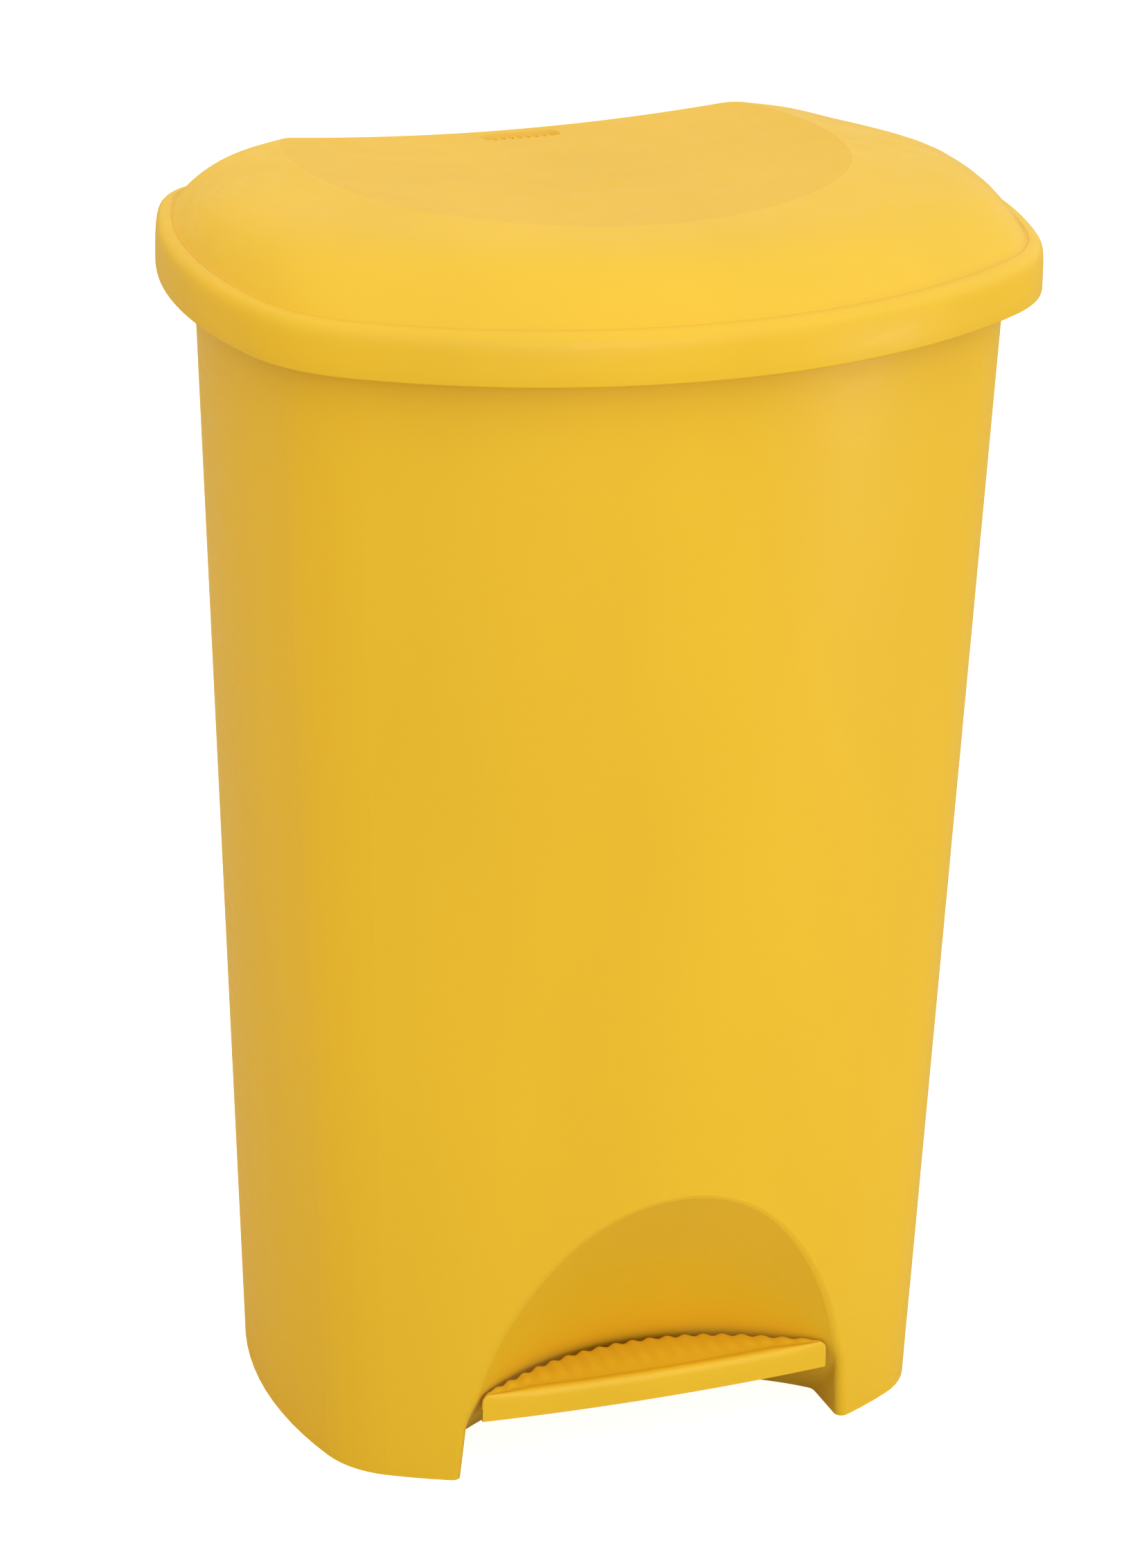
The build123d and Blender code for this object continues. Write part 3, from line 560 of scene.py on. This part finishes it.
def build_tread():
    sizes = bpy.context.scene.pedal_bin_sizes
    columns = [TREAD_HALF * (-1 + 2 * number / TREAD_COLUMNS) for number in range(2, TREAD_COLUMNS - 1)]
    columns = [-x for x in reversed(TREAD_END_COLUMNS)] + columns + list(TREAD_END_COLUMNS)
    bm = bmesh.new()
    first, last = loft(bm, [tread_section(x, sizes) for x in columns])
    bmesh.ops.contextual_create(bm, geom=first)
    bmesh.ops.contextual_create(bm, geom=last)
    bmesh.ops.triangulate(bm, faces=[f for f in bm.faces if len(f.verts) > 4])
    bmesh.ops.recalc_face_normals(bm, faces=bm.faces)
    soften(bm, math.radians(40))
    tread = piece("tread", bm, "pedal", "bin_plastic", finish("satin"))
    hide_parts("pedal_tread")


# ---------------------------------------------------------------- screws
SCREW_HEAD_HEIGHT = 2.2 * MM
SCREW_SHANK_RADIUS = 1.4 * MM


def pan_screw(bm, seat, out, head_radius, head_height, shank_radius, length):
    """Pan-head screw with a star recess; its head stands on seat and looks along out."""
    h, r = head_height, head_radius
    profile = ((0.0, h - 1.1 * MM), (0.95 * MM, h - 1.1 * MM), (1.15 * MM, h - 0.08 * MM),
               (1.35 * MM, h), (0.6 * r, 0.97 * h), (0.8 * r, 0.86 * h), (0.94 * r, 0.64 * h),
               (r, 0.36 * h), (r, 0.1 * h), (0.97 * r, 0.0), (shank_radius, 0.0),
               (shank_radius, 1.2 * MM - length), (0.0, -length))
    made = [bm.verts.new((a, 0.0, z)) for a, z in profile]
    edges = [bm.edges.new(pair) for pair in zip(made, made[1:])]
    before = set(bm.verts) - set(made)
    bmesh.ops.spin(bm, geom=made + edges, cent=(0, 0, 0), axis=(0, 0, 1),
                   angle=2 * math.pi, steps=36, use_merge=True)
    screw = [v for v in bm.verts if v not in before]
    for vert in screw:
        radius = vert.co.xy.length
        sector = round(math.degrees(math.atan2(vert.co.y, vert.co.x)) / 10)
        if 0.9 * MM < radius < 1.2 * MM and vert.co.z > 0 and sector % 6 in (2, 3, 4):
            vert.co.xy *= 0.66
    bmesh.ops.remove_doubles(bm, verts=screw, dist=1e-7)
    screw = [v for v in bm.verts if v not in before]
    turn = Vector((0, 0, 1)).rotation_difference(Vector(out)).to_matrix()
    bmesh.ops.rotate(bm, verts=screw, cent=(0, 0, 0), matrix=turn)
    bmesh.ops.translate(bm, verts=screw, vec=seat)


def build_screws(name, node, body, out):
    """Screws that stand for a CAD node, each where its solid is."""
    bm = bmesh.new()
    out = Vector(out)
    across = 0 if abs(out.x) < 0.5 else 1
    along = 1 if abs(out.y) > 0.5 else 2
    for low, high in solids_of(node):
        size, centre = high - low, (low + high) / 2
        head_radius = size[across] / 2
        seat = centre.copy()
        tip = high[along] if out[along] > 0 else low[along]
        seat[along] = tip - out[along] * SCREW_HEAD_HEIGHT
        pan_screw(bm, seat, out, head_radius, SCREW_HEAD_HEIGHT, SCREW_SHANK_RADIUS,
                  size[along] - SCREW_HEAD_HEIGHT)
    bmesh.ops.recalc_face_normals(bm, faces=bm.faces)
    soften(bm)
    screws = piece(name, bm, body, "fastener_steel", finish("screw"))
    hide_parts(node)


# ---------------------------------------------------------------- stage
SOFTBOX_AIM = 0.33                       # height that the softboxes look at
TENT_TOWARDS = (0.3, -0.65, 0.5)         # the side of the surround that is plain white
TENT_WARM = (1.0, 0.80, 0.38, 1.0)
TENT_WHITE = (1.0, 1.0, 1.0, 1.0)
CAMERA_AZIMUTH = -21.242
CAMERA_ELEVATION = 21.987
CAMERA_ROLL = 1.224
CAMERA_LENS = 130.82
CAMERA_SENSOR = 36.0
CAMERA_DISTANCE = 2.9304
CAMERA_TARGET = (0.0, 0.0228, 0.330)
CAMERA_OFFSET = (-0.006617, -0.003537)


def add_camera():
    """Camera at the same height, turn and distance as a catalogue view."""
    a, e, roll = (math.radians(v) for v in (CAMERA_AZIMUTH, CAMERA_ELEVATION, CAMERA_ROLL))
    back = Vector((math.sin(a) * math.cos(e), -math.cos(a) * math.cos(e), math.sin(e)))
    level = Vector((math.cos(a), math.sin(a), 0.0))
    up = back.cross(level)
    right = level * math.cos(roll) + up * math.sin(roll)
    up = up * math.cos(roll) - level * math.sin(roll)
    place = (Vector(CAMERA_TARGET) + back * CAMERA_DISTANCE
             + right * CAMERA_OFFSET[0] + up * CAMERA_OFFSET[1])
    data = bpy.data.cameras.new("camera")
    data.sensor_width = CAMERA_SENSOR
    data.lens = CAMERA_LENS
    data.clip_start, data.clip_end = 0.05, 60.0
    camera = bpy.data.objects.new("camera", data)
    bpy.context.scene.collection.objects.link(camera)
    camera.matrix_world = Matrix.Translation(place) @ Matrix((right, up, back)).transposed().to_4x4()
    bpy.context.scene.camera = camera


def softbox(name, azimuth, elevation, distance, size, power):
    """Area light that looks at the middle of the bin."""
    a, e = math.radians(azimuth), math.radians(elevation)
    back = Vector((math.sin(a) * math.cos(e), -math.cos(a) * math.cos(e), math.sin(e)))
    data = bpy.data.lights.new(name, "AREA")
    data.shape = "RECTANGLE"
    data.size, data.size_y = size
    data.energy = power
    light = bpy.data.objects.new(name, data)
    bpy.context.scene.collection.objects.link(light)
    light.location = Vector((0.0, 0.0, SOFTBOX_AIM)) + back * distance
    light.rotation_euler = back.to_track_quat("Z", "Y").to_euler()


def floor_paper(glow):
    """Paper floor: it glows white to the camera only, and bounces a dull warm light."""
    material, tree, shader = new_material("floor_paper")
    fibres = spread(tree, noise(tree, 300.0, 4.0), 0.0, 1.0)
    tree.links.new(tint(tree, fibres, (0.55, 0.48, 0.32, 1), (0.59, 0.52, 0.36, 1)),
                   shader.inputs["Base Color"])
    shader.inputs["Roughness"].default_value = 0.9
    shader.inputs["Specular IOR Level"].default_value = 0.1
    shader.inputs["Emission Color"].default_value = (1.0, 1.0, 1.0, 1.0)
    seen = tree.nodes.new("ShaderNodeLightPath").outputs["Is Camera Ray"]
    tree.links.new(spread(tree, seen, 0.0, glow, 0.0, 1.0), shader.inputs["Emission Strength"])
    return material


def light_tent(tree, front, behind):
    """Surround that lights the bin, white from the upper right front and warm from the left and behind.

    The camera itself sees plain white all round.
    """
    background = next(n for n in tree.nodes if n.type == "BACKGROUND")
    coords = tree.nodes.new("ShaderNodeTexCoord")
    facing = tree.nodes.new("ShaderNodeVectorMath")
    facing.operation = "DOT_PRODUCT"
    facing.inputs[1].default_value = Vector(TENT_TOWARDS).normalized()
    tree.links.new(coords.outputs["Generated"], facing.inputs[0])
    strength = spread(tree, facing.outputs["Value"], behind, front, -1.0, 1.0)
    towards = spread(tree, facing.outputs["Value"], 0.0, 1.0, -0.8, 0.6)
    warm = tint(tree, towards, TENT_WARM, TENT_WHITE)
    seen = tree.nodes.new("ShaderNodeLightPath").outputs["Is Camera Ray"]
    tree.links.new(tint_between(tree, seen, warm, TENT_WHITE), background.inputs["Color"])
    mix = tree.nodes.new("ShaderNodeMix")
    mix.inputs["B"].default_value = 1.0
    tree.links.new(seen, mix.inputs["Factor"])
    tree.links.new(strength, mix.inputs["A"])
    tree.links.new(mix.outputs["Result"], background.inputs["Strength"])


def build_stage():
    sizes = bpy.context.scene.pedal_bin_sizes
    bm = bmesh.new()
    bmesh.ops.create_grid(bm, x_segments=2, y_segments=2, size=sizes.floor_size / 2)
    mesh = bpy.data.meshes.new("floor")
    bm.to_mesh(mesh)
    bm.free()
    floor = bpy.data.objects.new("floor", mesh)
    bpy.context.scene.collection.objects.link(floor)
    mesh.materials.append(floor_paper(sizes.floor_glow))

    world = bpy.data.worlds.new("studio")
    world.use_nodes = True
    light_tent(world.node_tree, sizes.room_light, sizes.room_shade)
    bpy.context.scene.world = world
    bpy.context.scene.view_settings.view_transform = "Standard"
    softbox("key_softbox", azimuth=48, elevation=36, distance=2.2, size=(1.2, 1.2),
            power=sizes.key_light)
    softbox("front_softbox", azimuth=-5, elevation=14, distance=2.6, size=(1.6, 1.2),
            power=sizes.front_light)
    softbox("low_softbox", azimuth=51.8, elevation=-3, distance=1.31, size=(0.3, 0.2),
            power=sizes.low_light)
    add_camera()


# ---------------------------------------------------------------- add-on
class PedalBinSizes(bpy.types.PropertyGroup):
    wall: FloatProperty(name="Lid wall", description="Thickness of the moulded lid",
                        default=2.5 * MM, min=1 * MM, max=4 * MM, subtype="DISTANCE", unit="LENGTH")
    gate_depth: FloatProperty(name="Gate mark", description="Share of the gate mark's full depth",
                              default=1.0, min=0.0, max=2.0, subtype="FACTOR")
    recess_half: FloatProperty(name="Recess half width", description="Half width of the finger recess",
                               default=21 * MM, min=10 * MM, max=40 * MM, subtype="DISTANCE",
                               unit="LENGTH")
    recess_depth: FloatProperty(name="Recess depth", description="Depth of the finger recess",
                                default=2.3 * MM, min=0.5 * MM, max=4 * MM, subtype="DISTANCE",
                                unit="LENGTH")
    grip_ribs: IntProperty(name="Grip ribs", description="Small ribs in the finger recess",
                           default=8, min=0, max=12)
    boss_radius: FloatProperty(name="Boss radius", description="Radius of the bosses under the lid",
                               default=4.5 * MM, min=3 * MM, max=8 * MM, subtype="DISTANCE",
                               unit="LENGTH")
    rib_pitch: FloatProperty(name="Rib pitch", description="Distance between the tread's ribs",
                             default=9.5 * MM, min=5 * MM, max=20 * MM, subtype="DISTANCE",
                             unit="LENGTH")
    rib_height: FloatProperty(name="Rib height", description="Height of the tread's ribs",
                              default=0.9 * MM, min=0.0, max=1.4 * MM, subtype="DISTANCE",
                              unit="LENGTH")
    scallop: FloatProperty(name="Scallop", description="Depth of the waves in the tread's back edge",
                           default=1.1 * MM, min=0.0, max=2 * MM, subtype="DISTANCE", unit="LENGTH")
    floor_size: FloatProperty(name="Floor", description="Side of the floor", default=40.0, min=2.0,
                              max=80.0, subtype="DISTANCE", unit="LENGTH")
    floor_glow: FloatProperty(name="Floor glow", description="How white the floor looks",
                              default=0.9, min=0.0, max=2.0)
    room_light: FloatProperty(name="Room light", description="Surround from the upper right front",
                              default=1.04, min=0.0, max=4.0)
    room_shade: FloatProperty(name="Room shade", description="Surround from the left and behind",
                              default=1.06, min=0.0, max=4.0)
    key_light: FloatProperty(name="Key softbox", description="Power of the softbox on the right",
                             default=1.6, min=0.0, max=200.0, subtype="POWER", unit="POWER")
    front_light: FloatProperty(name="Front softbox", description="Power of the softbox in front",
                               default=8.5, min=0.0, max=200.0, subtype="POWER", unit="POWER")
    low_light: FloatProperty(name="Low softbox", description="Power of the small low softbox",
                             default=1.2, min=0.0, max=200.0, subtype="POWER", unit="POWER")


def colour(name, description, default):
    return FloatVectorProperty(name=name, description=description, default=default, size=4,
                               min=0.0, max=1.0, subtype="COLOR")


class PedalBinColours(bpy.types.PropertyGroup):
    yellow: colour("Yellow", "Bucket, lid and tread", (0.84, 0.53, 0.022, 1.0))
    # Paler and bluer than the yellow: painted sheen on the grained hollow.
    sheen_painted_yellow: colour("Grained yellow", "Grained hollow on top of the lid", (0.83, 0.52, 0.05, 1.0))
    inner_yellow: colour("Inner yellow", "Plain inner parts", (0.80, 0.49, 0.02, 1.0))
    bush: colour("Bush", "Natural acetal bushes and guides", (0.82, 0.81, 0.77, 1.0))
    steel: colour("Steel", "Zinc plated rod, pins and screws", (0.6, 0.61, 0.62, 1.0))
    rubber: colour("Rubber", "Buffers and stop", (0.025, 0.025, 0.027, 1.0))
    satin_roughness: FloatProperty(name="Satin roughness", description="Roughness of the outside",
                                   default=0.38, min=0.1, max=0.9, subtype="FACTOR")
    grained_roughness: FloatProperty(name="Grained roughness", description="Roughness of the hollow",
                                     default=0.55, min=0.1, max=0.9, subtype="FACTOR")


class PEDALBIN_OT_bucket(bpy.types.Operator):
    """Finish the bucket, its recess, floor, channel and hinge lugs"""
    bl_idname = "pedal_bin.bucket"
    bl_label = "Bucket"

    def execute(self, context):
        dress(finish("satin"), "body_shell", "foot_recess", "hinge_lugs", "bucket_floor",
              "rear_channel", "axle_ribs")
        dress(finish("inner"), "rear_channel_cover")
        return {"FINISHED"}


class PEDALBIN_OT_lid(bpy.types.Operator):
    """Build the domed lid with its rim, hollow, finger recess and bosses"""
    bl_idname = "pedal_bin.lid"
    bl_label = "Lid"

    def execute(self, context):
        build_lid()
        return {"FINISHED"}


class PEDALBIN_OT_tread(bpy.types.Operator):
    """Build the ribbed foot tread"""
    bl_idname = "pedal_bin.tread"
    bl_label = "Tread"

    def execute(self, context):
        build_tread()
        return {"FINISHED"}


class PEDALBIN_OT_screws(bpy.types.Operator):
    """Build the pan-head screws of the cover, the guides, the bracket and the tread"""
    bl_idname = "pedal_bin.screws"
    bl_label = "Screws"

    def execute(self, context):
        build_screws("channel_cover_screws", "cover_screws", "body", (0, 1, 0))
        build_screws("channel_guide_screws", "guide_screws", "body", (0, 1, 0))
        build_screws("hinge_bracket_screws", "bracket_screws", "lid", (0, 0, -1))
        build_screws("foot_tread_screws", "tread_screws", "pedal", (0, 0, -1))
        return {"FINISHED"}


class PEDALBIN_OT_linkage(bpy.types.Operator):
    """Finish the lever, the rod with its eyes and guides, the bracket, pins, bushes and buffers"""
    bl_idname = "pedal_bin.linkage"
    bl_label = "Linkage"

    def execute(self, context):
        dress(finish("inner"), "pedal_lever", "lid_hinge_bracket")
        dress(finish("bush"), "rod_guide_lower", "rod_guide_middle", "rod_guide_upper",
              "rod_lower_eye", "rod_upper_eye", "pedal_bush_left", "pedal_bush_right")
        dress(finish("rod"), "push_rod")
        dress(finish("pin"), "pedal_axle", "axle_clip_left", "axle_clip_right", "hinge_pin_left",
              "hinge_pin_right", "hinge_pin_clips", "lever_link_pin", "lid_link_pin")
        dress(finish("rubber"), "pedal_stop_buffer", "lid_buffers")
        return {"FINISHED"}


class PEDALBIN_OT_stage(bpy.types.Operator):
    """Lay the floor and set the lights and the camera"""
    bl_idname = "pedal_bin.stage"
    bl_label = "Stage"

    def execute(self, context):
        build_stage()
        return {"FINISHED"}


OPERATORS = (PEDALBIN_OT_bucket, PEDALBIN_OT_lid, PEDALBIN_OT_tread, PEDALBIN_OT_screws,
             PEDALBIN_OT_linkage, PEDALBIN_OT_stage)


class PEDALBIN_PT_panel(bpy.types.Panel):
    """Sizes, colours and steps of the pedal bin"""
    bl_idname = "PEDALBIN_PT_panel"
    bl_label = "Pedal bin"
    bl_space_type = "VIEW_3D"
    bl_region_type = "UI"
    bl_category = "Pedal bin"

    def draw(self, context):
        for group in (context.scene.pedal_bin_sizes, context.scene.pedal_bin_colours):
            box = self.layout.box()
            for name in group.__annotations__:
                box.prop(group, name)
        for operator in OPERATORS:
            self.layout.operator(operator.bl_idname)


CLASSES = (PedalBinSizes, PedalBinColours) + OPERATORS + (PEDALBIN_PT_panel,)


def register():
    for cls in CLASSES:
        bpy.utils.register_class(cls)
    bpy.types.Scene.pedal_bin_sizes = PointerProperty(type=PedalBinSizes)
    bpy.types.Scene.pedal_bin_colours = PointerProperty(type=PedalBinColours)


def unregister():
    del bpy.types.Scene.pedal_bin_colours
    del bpy.types.Scene.pedal_bin_sizes
    for cls in reversed(CLASSES):
        bpy.utils.unregister_class(cls)


def main():
    register()
    bpy.ops.pedal_bin.bucket()
    bpy.ops.pedal_bin.lid()
    bpy.ops.pedal_bin.tread()
    bpy.ops.pedal_bin.screws()
    bpy.ops.pedal_bin.linkage()
    bpy.ops.pedal_bin.stage()


if __name__ == "__main__":
    main()
